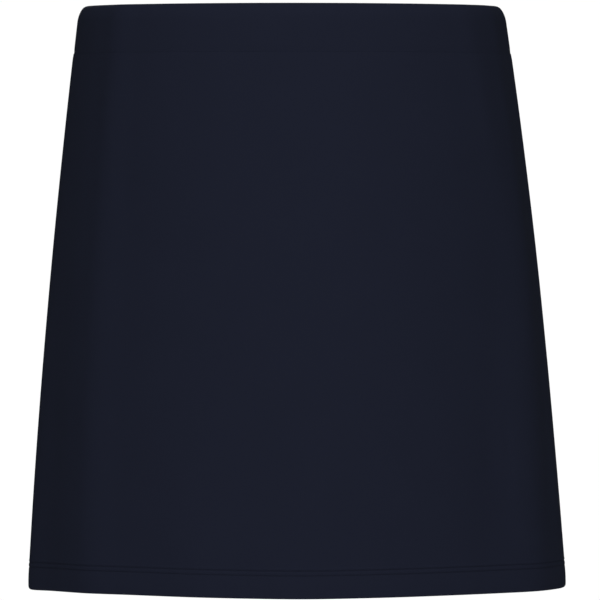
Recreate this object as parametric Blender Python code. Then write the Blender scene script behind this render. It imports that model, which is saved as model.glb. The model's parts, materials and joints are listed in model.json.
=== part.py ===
"""A plain A-line stretch sports skirt, filled out as it is worn and hollow all through.

Units are metres and +Z is up. The origin is the centre of the waist opening, level with the
waistband's top edge, where the waist carries the skirt. The front faces -Y, and the two side
seams lie in the plane y = 0.

Each piece is a wall of cloth with an outer and an inner face. Both faces are read from one worn
form, which has a closed section at every depth below the top edge. Angles go round the form in
degrees: the side seam at +X is 0, the centre front 90, the side seam at -X 180 and the centre
back 270.
"""

import math
from collections import namedtuple

import bmesh
import bpy
from mathutils import Vector

# Driving dimensions of the finished skirt.
LENGTH = 0.450  # from the folded top edge to the folded hem, down the centre front
BAND_DEPTH = 0.037
SEAM_GAP = 0.0003

# Cloth. The band is jersey folded double over elastic, and the hem is turned up once.
BAND_WALL = 0.0028
PANEL_WALL = 0.0012
HEM_WALL = 0.0022
HEM_TURN_UP = 0.022

# Soft edges. The band's top rolls in over its elastic, and the hem's round fold curls in a little.
TOP_ROLL_IN = 0.0065
TOP_ROLL_DEPTH = 0.0130
TOP_FOLD_DEPTH = 0.0018
HEM_FOLD_DEPTH = 0.0018
HEM_CURL_IN = 0.0008
HEM_CURL_DEPTH = 0.014
BLUNTNESS = 0.2  # the flat tip of a fold, as a share of its wall
SEAM_DIP = 0.0006  # how far the waist seam draws the cloth in
SEAM_DIP_REACH = 0.007

# How the hem hangs off the level: it dips in the middle, and its ends at the side seams differ.
HEM_DIP = 0.0010
HEM_DIP_REACH = 0.65  # as a share of the half width
HEM_END_RISE_PLUS_X = 0.0004
HEM_END_RISE_MINUS_X = -0.0014
HEM_END_POWER = 10
HEM_HANG_START = 0.250  # the depth below which the cloth follows the hem

# The worn form, with a row every fifth of the length, in millimetres. "front" and "back" are
# the depths of each half, "point" is 0 for an ellipse and 1 for a lens with sharp sides, and
# "sway" is how far the section has moved towards +X.
Section = namedtuple("Section", "half_width front back point sway")
SECTIONS = (
    Section(half_width=164.3, front=108.0, back=99.0, point=0.25, sway=0.0),
    Section(half_width=175.6, front=113.0, back=112.0, point=0.29, sway=1.2),
    Section(half_width=185.7, front=117.0, back=123.0, point=0.34, sway=2.1),
    Section(half_width=194.3, front=118.5, back=127.0, point=0.39, sway=2.7),
    Section(half_width=201.8, front=118.0, back=126.5, point=0.45, sway=3.3),
    Section(half_width=208.3, front=117.0, back=125.0, point=0.52, sway=4.2),
)

# The soft flutes of the hanging cloth, and the flatter facets where its flare turns back to the
# side seams. A fold starts at nothing at its "start" depth and is highest at the hem, and one with
# a start below 0 is already there at the top edge. It lies at "top_angle" at the top edge and at
# "hem_angle" at the hem, and fades out "spread" degrees to each side. Height and start are in
# millimetres, and a height below 0 is a trough.
Fold = namedtuple("Fold", "top_angle hem_angle spread start height")
FOLDS = (
    Fold(top_angle=10.0, hem_angle=12.0, spread=14.0, start=-450.0, height=-1.4),
    Fold(top_angle=163.0, hem_angle=161.0, spread=20.0, start=-450.0, height=-3.6),
    Fold(top_angle=197.0, hem_angle=199.0, spread=19.0, start=-450.0, height=-2.6),
    Fold(top_angle=347.0, hem_angle=345.0, spread=16.0, start=-450.0, height=-1.8),
    Fold(top_angle=26.0, hem_angle=24.0, spread=14.0, start=-200.0, height=1.0),
    Fold(top_angle=66.0, hem_angle=36.0, spread=15.0, start=200.0, height=-1.6),
    Fold(top_angle=38.0, hem_angle=22.0, spread=15.0, start=120.0, height=1.5),
    Fold(top_angle=80.0, hem_angle=78.0, spread=14.0, start=250.0, height=-1.2),
    Fold(top_angle=88.0, hem_angle=88.0, spread=13.0, start=270.0, height=0.8),
    Fold(top_angle=100.0, hem_angle=101.0, spread=15.0, start=200.0, height=-1.2),
    Fold(top_angle=134.0, hem_angle=114.0, spread=18.0, start=90.0, height=1.2),
    Fold(top_angle=156.0, hem_angle=139.0, spread=20.0, start=40.0, height=1.8),
    Fold(top_angle=200.0, hem_angle=206.0, spread=17.0, start=120.0, height=-1.5),
    Fold(top_angle=222.0, hem_angle=232.0, spread=19.0, start=160.0, height=2.2),
    Fold(top_angle=250.0, hem_angle=255.0, spread=16.0, start=230.0, height=-1.8),
    Fold(top_angle=270.0, hem_angle=277.0, spread=18.0, start=190.0, height=1.6),
    Fold(top_angle=296.0, hem_angle=300.0, spread=17.0, start=240.0, height=-1.7),
    Fold(top_angle=322.0, hem_angle=326.0, spread=18.0, start=110.0, height=1.9),
)

# How finely the walls are meshed.
COLUMNS = 48  # round each half of the form
BODY_ROWS = 13  # down a panel between its seam and its turned-up hem
FOLD_SHARES = (0.0, 0.15, 0.45, 1.0)  # of a round fold's depth, from its tip
ROLL_SHARES = (0.3, 0.55, 1.0)  # of the rolled top's depth
RAW_EDGE_STEP = 0.0008  # the length over which a hem's raw edge thickens its panel
SHARP_EDGE = math.radians(50.0)

MILLIMETRE = 0.001

# Dark navy jersey, as linear colour.
NAVY = (0.0116, 0.0137, 0.0252, 1.0)
JERSEY_ROUGHNESS = 0.85


def smooth(share):
    """Return a share from 0 to 1, eased at both ends."""
    share = min(max(share, 0.0), 1.0)
    return share * share * (3.0 - 2.0 * share)


def swell(distance):
    """Return a soft bump that is 1 at no distance and 0 from a distance of 1."""
    return 0.5 + 0.5 * math.cos(math.pi * min(abs(distance), 1.0))


def round_end(distance, reach):
    """Return how full a round edge is at a distance from its tip: 0 at the tip, 1 past it."""
    share = min(distance / reach, 1.0)
    return math.sqrt(1.0 - (1.0 - share) ** 2)


def section_at(depth):
    """Return the form's section at a depth, on smooth curves through the table's rows."""
    place = depth / LENGTH * (len(SECTIONS) - 1)
    row = min(int(place), len(SECTIONS) - 2)
    t = place - row
    values = []
    for column in zip(*SECTIONS):
        start, end = column[row], column[row + 1]
        before = column[row - 1] if row else 2.0 * start - end
        after = column[row + 2] if row + 2 < len(column) else 2.0 * end - start
        curve = 2.0 * before - 5.0 * start + 4.0 * end - after
        turn = 3.0 * (start - end) + after - before
        values.append(start + 0.5 * t * (end - before + t * (curve + t * turn)))
    return Section(*values)


def fold_height(angle, depth):
    """Return how far the folds lift the cloth off the plain form."""
    height = 0.0
    for fold in FOLDS:
        start = fold.start * MILLIMETRE
        middle = fold.top_angle + (fold.hem_angle - fold.top_angle) * depth / LENGTH
        away = abs((angle - middle + 180.0) % 360.0 - 180.0) / fold.spread
        height += fold.height * swell(away) * smooth((depth - start) / (LENGTH - start))
    return height * MILLIMETRE


def hem_rise(angle, depth):
    """Return how far the cloth lies above its level, which it does most at the hem."""
    across = math.cos(math.radians(angle))
    end = HEM_END_RISE_PLUS_X if across > 0.0 else HEM_END_RISE_MINUS_X
    rise = end * across**HEM_END_POWER - HEM_DIP * swell(across / HEM_DIP_REACH)
    return rise * smooth((depth - HEM_HANG_START) / (LENGTH - HEM_HANG_START))


def cloth_point(angle, depth, inset):
    """Return the point at an angle and a depth, inset from the outer face of the worn form."""
    form = section_at(depth)
    sine, cosine = math.sin(math.radians(angle)), math.cos(math.radians(angle))
    reach = form.front if sine > 0.0 else form.back
    round_share, lens_share = (1.0 - form.point) * reach, form.point * reach
    x = form.sway + form.half_width * cosine
    y = -(round_share * sine + lens_share * sine * abs(sine))
    along = Vector((-form.half_width * sine, -(round_share + 2.0 * lens_share * abs(sine)) * cosine))
    outward = Vector((-along.y, along.x)).normalized()
    lift = fold_height(angle, depth) - inset
    return Vector(
        (
            x * MILLIMETRE + outward.x * lift,
            y * MILLIMETRE + outward.y * lift,
            hem_rise(angle, depth) - depth,
        )
    )


def seam_dip(depth):
    """Return how far the cloth is drawn in beside the waist seam."""
    return SEAM_DIP * swell((depth - BAND_DEPTH) / SEAM_DIP_REACH)


def band_insets(depth):
    """Return the insets of the band's outer and inner face: a round fold on a rolled-in top."""
    roll = TOP_ROLL_IN * (1.0 - round_end(depth, TOP_ROLL_DEPTH))
    middle = roll + BAND_WALL / 2.0 + seam_dip(depth)
    half = BAND_WALL / 2.0 * max(round_end(depth, TOP_FOLD_DEPTH), BLUNTNESS)
    return middle - half, middle + half


def panel_insets(depth):
    """Return the insets of a panel's outer and inner face, down to the round fold of its hem."""
    above_fold = LENGTH - depth
    if above_fold > HEM_TURN_UP:
        return seam_dip(depth), seam_dip(depth) + PANEL_WALL
    curl = HEM_CURL_IN * max(1.0 - above_fold / HEM_CURL_DEPTH, 0.0) ** 2
    middle = curl + HEM_WALL / 2.0
    half = HEM_WALL / 2.0 * max(round_end(above_fold, HEM_FOLD_DEPTH), BLUNTNESS)
    return middle - half, middle + half


def even_depths(first, last, count):
    """Return depths from the first to the last in even steps."""
    return [first + (last - first) * i / count for i in range(count + 1)]


def band_depths():
    """Return the depths of the band's rows, closer at its rolled top and at its seam."""
    fold = [share * TOP_FOLD_DEPTH for share in FOLD_SHARES]
    roll = [share * TOP_ROLL_DEPTH for share in ROLL_SHARES]
    seam = [BAND_DEPTH - SEAM_DIP_REACH, BAND_DEPTH - SEAM_DIP_REACH / 2.0, BAND_DEPTH]
    return fold + roll + [(TOP_ROLL_DEPTH + seam[0]) / 2.0] + seam


def panel_depths():
    """Return the depths of a panel's rows, closer at its seam and at its turned-up hem."""
    first = BAND_DEPTH + SEAM_GAP
    raw_edge = LENGTH - HEM_TURN_UP
    seam = [first, first + SEAM_DIP_REACH / 2.0]
    body = even_depths(first + SEAM_DIP_REACH, raw_edge - RAW_EDGE_STEP / 2.0, BODY_ROWS)
    hem = [raw_edge + RAW_EDGE_STEP / 2.0, LENGTH - HEM_TURN_UP / 2.0]
    fold = [LENGTH - share * HEM_FOLD_DEPTH for share in reversed(FOLD_SHARES)]
    return seam + body + hem + fold


def wall_points(depths, angles, insets, shift):
    """Return the outer and the inner rows of points of a wall, moved along Y by the shift."""
    outer, inner = [], []
    offset = Vector((0.0, shift, 0.0))
    for depth in depths:
        outer_inset, inner_inset = insets(depth)
        outer.append([cloth_point(angle, depth, outer_inset) + offset for angle in angles])
        inner.append([cloth_point(angle, depth, inner_inset) + offset for angle in angles])
    return outer, inner


def wall_mesh(name, outer, inner, is_ring):
    """Return a closed mesh between matching outer and inner rows, which a ring joins end to end."""
    maker = bmesh.new()
    faces_of_wall = [
        [[maker.verts.new(point) for point in row] for row in face] for face in (outer, inner)
    ]
    columns = len(outer[0])
    steps = [(i, (i + 1) % columns) for i in range(columns if is_ring else columns - 1)]
    for rows in faces_of_wall:
        for upper, lower in zip(rows, rows[1:]):
            for left, right in steps:
                maker.faces.new((upper[left], upper[right], lower[right], lower[left]))
    outer_rows, inner_rows = faces_of_wall
    for row in (0, -1):
        for left, right in steps:
            edge = (outer_rows[row][left], inner_rows[row][left])
            maker.faces.new(edge + (inner_rows[row][right], outer_rows[row][right]))
    if not is_ring:
        for column in (0, -1):
            for row in range(len(outer) - 1):
                edge = (outer_rows[row][column], inner_rows[row][column])
                maker.faces.new(edge + (inner_rows[row + 1][column], outer_rows[row + 1][column]))
    bmesh.ops.recalc_face_normals(maker, faces=maker.faces)
    mesh = bpy.data.meshes.new(name)
    maker.to_mesh(mesh)
    maker.free()
    mesh.shade_smooth()
    mesh.set_sharp_from_angle(angle=SHARP_EDGE)
    return mesh


def jersey(name):
    """Return a matt navy jersey material."""
    material = bpy.data.materials.new(name)
    material.use_nodes = True
    shader = material.node_tree.nodes["Principled BSDF"]
    shader.inputs["Base Color"].default_value = NAVY
    shader.inputs["Roughness"].default_value = JERSEY_ROUGHNESS
    shader.inputs["Metallic"].default_value = 0.0
    return material


def add_piece(name, outer, inner, is_ring, hung_at, waist, collection):
    """Add one cloth piece, hung from the waist at its own depth."""
    place = Vector((0.0, 0.0, -hung_at))
    outer, inner = ([[point - place for point in row] for row in face] for face in (outer, inner))
    piece = bpy.data.objects.new(name, wall_mesh(name, outer, inner, is_ring))
    piece.data.materials.append(jersey(name + "_jersey"))
    piece.parent = waist
    piece.location = place
    collection.objects.link(piece)


def add_waistband(waist, collection):
    """Add the waistband, a ring of jersey folded double over its elastic."""
    angles = [i * 180.0 / COLUMNS for i in range(2 * COLUMNS)]
    outer, inner = wall_points(band_depths(), angles, band_insets, 0.0)
    add_piece("waistband", outer, inner, True, 0.0, waist, collection)


def add_panel(name, first_angle, shift, waist, collection):
    """Add one panel from side seam to side seam, half a seam gap off the seams' plane."""
    angles = [first_angle + i * 180.0 / COLUMNS for i in range(COLUMNS + 1)]
    outer, inner = wall_points(panel_depths(), angles, panel_insets, shift)
    add_piece(name, outer, inner, False, BAND_DEPTH + SEAM_GAP, waist, collection)


def main():
    """Clear the scene and build the skirt."""
    for item in list(bpy.data.objects):
        bpy.data.objects.remove(item, do_unlink=True)
    collection = bpy.data.collections.new("stretch_sports_skirt")
    bpy.context.scene.collection.children.link(collection)
    waist = bpy.data.objects.new("waist", None)
    collection.objects.link(waist)
    add_waistband(waist, collection)
    add_panel("front_panel", 0.0, -SEAM_GAP / 2.0, waist, collection)
    add_panel("back_panel", 180.0, SEAM_GAP / 2.0, waist, collection)


main()
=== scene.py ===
"""The looks of a plain A-line stretch sports skirt, filled out as it is worn and hollow.

Units are metres and +Z is up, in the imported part's own frame. The origin is the centre of the
waist opening, level with the waistband's top edge. The front faces -Y, and the two side seams lie
in the plane y = 0.

The cloth is read from one worn form, which has a closed section at every depth below the top
edge. Angles go round the form in degrees: the side seam at +X is 0, the centre front 90, the side
seam at -X 180 and the centre back 270. An inset is a distance in from the form's outer face.
"""

import json
import math
from bisect import bisect_right
from collections import namedtuple
from functools import lru_cache

import bmesh
import bpy
from bpy.props import FloatProperty, FloatVectorProperty, IntProperty, PointerProperty
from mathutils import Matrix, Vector

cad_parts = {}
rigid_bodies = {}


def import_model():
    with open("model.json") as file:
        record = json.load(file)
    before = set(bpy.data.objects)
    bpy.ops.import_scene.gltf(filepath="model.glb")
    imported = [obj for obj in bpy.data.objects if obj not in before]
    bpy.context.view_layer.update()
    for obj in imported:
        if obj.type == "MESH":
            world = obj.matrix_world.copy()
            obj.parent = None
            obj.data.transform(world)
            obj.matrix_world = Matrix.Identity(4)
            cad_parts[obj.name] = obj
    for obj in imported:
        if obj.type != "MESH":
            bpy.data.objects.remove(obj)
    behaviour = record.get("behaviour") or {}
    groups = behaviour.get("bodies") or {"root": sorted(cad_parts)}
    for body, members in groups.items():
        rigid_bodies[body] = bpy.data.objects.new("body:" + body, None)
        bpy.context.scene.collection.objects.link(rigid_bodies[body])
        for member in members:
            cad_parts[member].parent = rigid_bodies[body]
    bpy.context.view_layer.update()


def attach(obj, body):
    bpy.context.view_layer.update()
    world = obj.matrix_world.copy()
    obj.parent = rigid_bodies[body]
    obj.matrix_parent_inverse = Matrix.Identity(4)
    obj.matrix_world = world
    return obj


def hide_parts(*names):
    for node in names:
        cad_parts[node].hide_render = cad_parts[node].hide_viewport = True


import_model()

bl_info = {
    "name": "Stretch Sports Skirt",
    "version": (1, 0, 0),
    "blender": (4, 5, 0),
    "location": "3D View > Sidebar > Skirt",
    "description": "Cloth, sewing and studio of a plain A-line stretch sports skirt",
    "category": "Object",
}

MILLIMETRE = 0.001
WAISTBAND, FRONT_PANEL, BACK_PANEL = "waistband", "front_panel", "back_panel"

# Driving dimensions of the finished skirt, as its solids have them.
LENGTH = 0.450  # from the folded top edge to the folded hem, down the centre front
BAND_DEPTH = 0.037
BAND_WALL = 0.0028
PANEL_WALL = 0.0012
HEM_WALL = 0.0022
HEM_TURN_UP = 0.022

# Soft edges. The band's top rolls in over its elastic, and the hem's round fold curls in a little.
TOP_ROLL_IN = 0.0065
TOP_ROLL_DEPTH = 0.0130
TOP_FOLD_DEPTH = 0.0018
HEM_FOLD_DEPTH = 0.0018
HEM_CURL_IN = 0.0008
HEM_CURL_DEPTH = 0.014
HEM_CORNER_IN = 0.0016  # how far the hem's fold turns in at each side seam
HEM_CORNER_DEPTH = 0.0034
HEM_CORNER_REACH = 0.016
BLUNTNESS = 0.12  # the flat tip of a fold, as a share of its wall
SEAM_DIP = 0.00022  # how far the waist seam draws the cloth in
SEAM_DIP_REACH = 0.006
SEAM_DIP_ROWS = 6

# How the hem hangs off the level: it dips in the middle, and its ends at the side seams differ.
HEM_DIP = 0.0010
HEM_DIP_REACH = 0.65  # as a share of the half width
HEM_END_RISE_PLUS_X = 0.0004
HEM_END_RISE_MINUS_X = -0.0014
HEM_END_POWER = 10
HEM_HANG_START = 0.250  # the depth below which the cloth follows the hem

# The worn form, with a row every fifth of the length, in millimetres. "front" and "back" are
# the depths of each half, "point" is 0 for an ellipse and 1 for a lens with sharp sides, and
# "sway" is how far the section has moved towards +X.
Section = namedtuple("Section", "half_width front back point sway")
SECTIONS = (
    Section(164.3, 108.0, 99.0, 0.25, 0.0),
    Section(175.6, 113.0, 112.0, 0.29, 1.2),
    Section(185.7, 117.0, 123.0, 0.34, 2.1),
    Section(194.3, 118.5, 127.0, 0.39, 2.7),
    Section(201.8, 118.0, 126.5, 0.45, 3.3),
    Section(208.3, 117.0, 125.0, 0.52, 4.2),
)

# The soft flutes of the hanging cloth, and the flatter facets where its flare turns back to the
# side seams. A fold starts at nothing at its "start" depth and is highest at the hem, and one with
# a start below 0 is already there at the top edge. It lies at "top_angle" at the top edge and at
# "hem_angle" at the hem, and fades out "spread" degrees to each side. Height and start are in
# millimetres, and a height below 0 is a trough.
Fold = namedtuple("Fold", "top_angle hem_angle spread start height")
FOLDS = (
    Fold(163.0, 161.0, 20.0, -450.0, -3.6),
    Fold(197.0, 199.0, 19.0, -450.0, -2.6),
    Fold(347.0, 345.0, 16.0, -450.0, -1.8),
    Fold(26.0, 24.0, 14.0, -200.0, 1.0),
    Fold(66.0, 36.0, 15.0, 200.0, -1.6),
    Fold(38.0, 26.0, 15.0, 120.0, 0.8),
    Fold(80.0, 78.0, 14.0, 250.0, -1.2),
    Fold(88.0, 88.0, 13.0, 270.0, 0.8),
    Fold(100.0, 101.0, 15.0, 200.0, -1.2),
    Fold(134.0, 114.0, 18.0, 90.0, 1.2),
    Fold(156.0, 139.0, 20.0, 40.0, 1.8),
    Fold(200.0, 206.0, 17.0, 120.0, -1.5),
    Fold(222.0, 232.0, 19.0, 160.0, 2.2),
    Fold(250.0, 255.0, 16.0, 230.0, -1.8),
    Fold(270.0, 277.0, 18.0, 190.0, 1.6),
    Fold(296.0, 300.0, 17.0, 240.0, -1.7),
    Fold(322.0, 326.0, 18.0, 110.0, 1.9),
)

# The creases, which lie between two depths and fade out at both. The first five are the soft
# ridges where the flatter sides meet the front and the back, the sixth is the trough in front of
# the side seam at +X, and the rest are finer. Angles are in degrees, and depths and heights in
# millimetres. Only the depths from the top edge to the hem show.
Crease = namedtuple("Crease", "top_angle bottom_angle top bottom spread height")
CREASES = (
    Crease(15.0, 45.0, 40.0, 700.0, 15.0, 3.2),
    Crease(145.5, 137.0, -300.0, 750.0, 9.0, 1.7),
    Crease(203.0, 226.0, -250.0, 600.0, 10.0, 1.4),
    Crease(347.0, 329.0, 70.0, 470.0, 11.0, 1.7),
    Crease(40.0, 29.0, -120.0, 200.0, 9.0, 1.2),
    Crease(10.0, 11.0, -250.0, 300.0, 13.0, -1.7),
    Crease(36.0, 36.5, 300.0, 400.0, 3.0, -0.40),
    Crease(99.0, 102.0, 235.0, 372.0, 5.0, -0.30),
    Crease(80.0, 78.0, 305.0, 420.0, 4.0, -0.26),
    Crease(44.0, 38.0, 300.0, 400.0, 5.0, -0.40),
    Crease(141.0, 128.0, 60.0, 215.0, 6.0, -0.22),
    Crease(118.0, 121.0, 285.0, 415.0, 6.0, -0.28),
    Crease(59.0, 62.0, 48.0, 120.0, 6.0, -0.16),
    Crease(209.0, 218.0, 70.0, 260.0, 6.0, -0.40),
    Crease(238.0, 243.0, 210.0, 395.0, 5.0, 0.40),
    Crease(262.0, 264.0, 90.0, 190.0, 6.0, -0.25),
    Crease(284.0, 289.0, 255.0, 425.0, 5.0, -0.45),
    Crease(309.0, 312.0, 130.0, 330.0, 6.0, 0.38),
    Crease(336.0, 341.0, 60.0, 240.0, 6.0, -0.32),
)
CREASE_FADE = 0.35  # the share of a crease's length over which each end fades


def smooth(share):
    """Return a share from 0 to 1, eased at both ends."""
    share = min(max(share, 0.0), 1.0)
    return share * share * (3.0 - 2.0 * share)


def swell(distance):
    """Return a soft bump that is 1 at no distance and 0 from a distance of 1."""
    return 0.5 + 0.5 * math.cos(math.pi * min(abs(distance), 1.0))


def round_end(distance, reach):
    """Return how full a round edge is at a distance from its tip: 0 at the tip, 1 past it."""
    share = min(max(distance / reach, 0.0), 1.0)
    return math.sqrt(1.0 - (1.0 - share) ** 2)


def turn_between(angle, other):
    """Return the degrees from one angle to the other, the short way round."""
    return abs((angle - other + 180.0) % 360.0 - 180.0)


@lru_cache(maxsize=None)
def section_at(depth):
    """Return the form's section at a depth, on smooth curves through the table's rows."""
    place = depth / LENGTH * (len(SECTIONS) - 1)
    row = min(int(place), len(SECTIONS) - 2)
    t = place - row
    values = []
    for column in zip(*SECTIONS):
        start, end = column[row], column[row + 1]
        before = column[row - 1] if row else 2.0 * start - end
        after = column[row + 2] if row + 2 < len(column) else 2.0 * end - start
        curve = 2.0 * before - 5.0 * start + 4.0 * end - after
        turn = 3.0 * (start - end) + after - before
        values.append(start + 0.5 * t * (end - before + t * (curve + t * turn)))
    return Section(*values)


@lru_cache(maxsize=None)
def drape_at(depth):
    """Return the folds and creases at a depth, each as its middle, its spread and its height."""
    found = []
    for fold in FOLDS:
        start = fold.start * MILLIMETRE
        height = fold.height * smooth((depth - start) / (LENGTH - start))
        middle = fold.top_angle + (fold.hem_angle - fold.top_angle) * depth / LENGTH
        found.append((middle, fold.spread, height * MILLIMETRE))
    for crease in CREASES:
        share = (depth / MILLIMETRE - crease.top) / (crease.bottom - crease.top)
        height = crease.height * smooth(share / CREASE_FADE) * smooth((1.0 - share) / CREASE_FADE)
        middle = crease.top_angle + (crease.bottom_angle - crease.top_angle) * share
        found.append((middle, crease.spread, height * MILLIMETRE))
    return [row for row in found if row[2]]


def drape_height(angle, depth):
    """Return how far the folds and creases lift the cloth off the plain form."""
    total = 0.0
    for middle, spread, height in drape_at(depth):
        away = turn_between(angle, middle) / spread
        if away < 1.0:
            total += height * swell(away)
    return total


def hem_rise(angle, depth):
    """Return how far the cloth lies above its level, which it does most at the hem."""
    across = math.cos(math.radians(angle))
    end = HEM_END_RISE_PLUS_X if across > 0.0 else HEM_END_RISE_MINUS_X
    rise = end * across**HEM_END_POWER - HEM_DIP * swell(across / HEM_DIP_REACH)
    return rise * smooth((depth - HEM_HANG_START) / (LENGTH - HEM_HANG_START))


def cloth_point(angle, depth, inset):
    """Return the point at an angle and a depth, inset from the outer face of the worn form."""
    form = section_at(depth)
    sine, cosine = math.sin(math.radians(angle)), math.cos(math.radians(angle))
    reach = form.front if sine > 0.0 else form.back
    round_share, lens_share = (1.0 - form.point) * reach, form.point * reach
    x = form.sway + form.half_width * cosine
    y = -(round_share * sine + lens_share * sine * abs(sine))
    along_x = -form.half_width * sine
    along_y = -(round_share + 2.0 * lens_share * abs(sine)) * cosine
    lift = (drape_height(angle, depth) - inset) / math.hypot(along_x, along_y)
    return Vector(
        (
            x * MILLIMETRE - along_y * lift,
            y * MILLIMETRE + along_x * lift,
            hem_rise(angle, depth) - depth,
        )
    )


def length_property(title, text, default, precision=4):
    """Return a length that a user may change."""
    return FloatProperty(
        name=title, description=text, default=default, subtype="DISTANCE", precision=precision
    )


def power_property(title, text, default):
    """Return a light's power that a user may change."""
    return FloatProperty(name=title, description=text, default=default, unit="POWER")


def colour_property(title, text, default):
    """Return a colour that a user may change."""
    return FloatVectorProperty(
        name=title, description=text, default=default, subtype="COLOR", min=0.0, max=1.0
    )


class SkirtCloth(bpy.types.PropertyGroup):
    """Sizes of the cloth that its solids leave plain."""

    panel_columns: IntProperty(
        name="Panel columns", description="Faces across each panel", default=240, min=48, max=360
    )
    body_rows: IntProperty(
        name="Body rows", description="Faces down a panel's plain body", default=48, min=12, max=90
    )
    seam_gap: length_property(
        "Seam gap", "What is left between two pieces that a seam joins", 0.00004, 5
    )
    seam_round: length_property(
        "Seam rounding", "How far a piece's edge turns in at its seam", 0.00012, 5
    )
    seam_round_reach: length_property(
        "Rounding reach", "The width over which the edge turns in", 0.0004, 5
    )
    side_lift: length_property(
        "Side lift", "How far the allowance inside a side seam pushes the cloth out", 0.0004, 5
    )
    side_lift_reach: length_property(
        "Lift reach", "The width beside a side seam that is pushed out", 0.008
    )


class SkirtSewing(bpy.types.PropertyGroup):
    """Sizes of the stitches and of the allowances inside."""

    upper_row: length_property(
        "Upper row", "Height of the upper needle row above the hem's fold", 0.0213
    )
    gauge: length_property("Needle gauge", "Distance between the two needle rows", 0.0036)
    stitch: length_property("Hem stitch", "Length of one hem stitch", 0.0028)
    overlock: length_property("Overlock stitch", "Length of one overlock stitch", 0.0025)
    thread: length_property("Thread", "Diameter of the sewing thread", 0.0003, 5)
    groove: length_property(
        "Needle groove", "How deep a needle row sinks into the cloth", 0.00030, 5
    )
    tunnel: length_property(
        "Tunnel", "How far the cloth stands up beside and between the needle rows", 0.00015, 5
    )
    allowance: length_property("Allowance", "Width of the overlocked seam allowances", 0.007)
    allowance_wall: length_property(
        "Allowance wall", "Thickness of the plies of an allowance", 0.0015, 5
    )


class SkirtFinish(bpy.types.PropertyGroup):
    """Colours and grain of the jersey and of its thread."""

    jersey: colour_property("Jersey", "Colour of the jersey", (0.0116, 0.0137, 0.0252))
    # The thread's colour is darker than the jersey's partly as painted shade, standing in for the
    # shade in the hem's needle grooves.
    thread: colour_property("Thread", "Colour of the sewing thread", (0.0086, 0.0102, 0.0190))
    wale: length_property("Wale", "Width of one column of knit stitches", 0.00066, 5)
    course: length_property("Course", "Height of one row of knit stitches", 0.00050, 5)


class SkirtStudio(bpy.types.PropertyGroup):
    """The studio round the skirt."""

    key_power: power_property("Key", "Power of the large soft light", 84.0)
    top_power: power_property("Top", "Power of the soft light above", 21.0)
    rear_power: power_property("Rear", "Power of the soft light behind", 80.0)
    surround: FloatProperty(
        name="Surround", description="Strength of the light from all round", default=0.23, min=0.0
    )
    surround_tint: colour_property(
        "Surround tint", "Colour of the light from all round", (0.93, 1.0, 0.83)
    )
    lamp_tint: colour_property("Lamp tint", "Colour of the lamps", (0.96, 0.95, 1.0))
    focal_length: FloatProperty(
        name="Focal length",
        description="The camera's lens for a sensor 36 mm wide",
        default=380.3,
        subtype="DISTANCE_CAMERA",
    )


CUT_MAP = "cut"  # the map that gives each point's place on the cut cloth

# The grain of the jersey and of its thread. The jersey's and the thread's own shade scale their
# colours, and the shades of the knit, fuzz, clouds and fibres are how far those vary it.
WOBBLE_SIZE, FUZZ_SIZE, CLOUD_SIZE = 0.004, 0.0011, 0.045
JERSEY_SHADE, KNIT_SHADE, FUZZ_SHADE, CLOUD_SHADE = 0.91, 0.16, 0.12, 0.05
THREAD_SHADE, FIBRE_SHADE = 0.80, 0.40
THREAD_FIBRES = 2600.0  # across a metre
KNIT_RELIEF, THREAD_RELIEF = 0.00012, 0.00005
JERSEY_ROUGHNESS, THREAD_ROUGHNESS = 0.84, 0.62
JERSEY_GLOSS, THREAD_GLOSS = 0.02, 0.05


class Value:
    """A value in a shader, whose arithmetic adds Math nodes."""

    def __init__(self, board, socket):
        self.board = board
        self.socket = socket

    def math(self, operation, *operands):
        """Return the result of a Math node that reads these operands in order."""
        inputs = dict(enumerate(operands))
        node = self.board.add("ShaderNodeMath", {"operation": operation}, inputs)
        return Value(self.board, node.outputs[0])

    def __add__(self, other):
        return self.math("ADD", self, other)

    def __radd__(self, other):
        return self.math("ADD", other, self)

    def __sub__(self, other):
        return self.math("SUBTRACT", self, other)

    def __rsub__(self, other):
        return self.math("SUBTRACT", other, self)

    def __mul__(self, other):
        return self.math("MULTIPLY", self, other)

    def __rmul__(self, other):
        return self.math("MULTIPLY", other, self)

    def __truediv__(self, other):
        return self.math("DIVIDE", self, other)

    def __pow__(self, other):
        return self.math("POWER", self, other)

    def __abs__(self):
        return self.math("ABSOLUTE", self)

    def part(self):
        """Return the fraction past the whole number below."""
        return self.math("FRACT", self)

    def wave(self):
        """Return a wave from 0 to 1 that repeats with every whole number, and is 1 at each."""
        return 0.5 + 0.5 * self.math("COSINE", self * (2.0 * math.pi))


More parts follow.
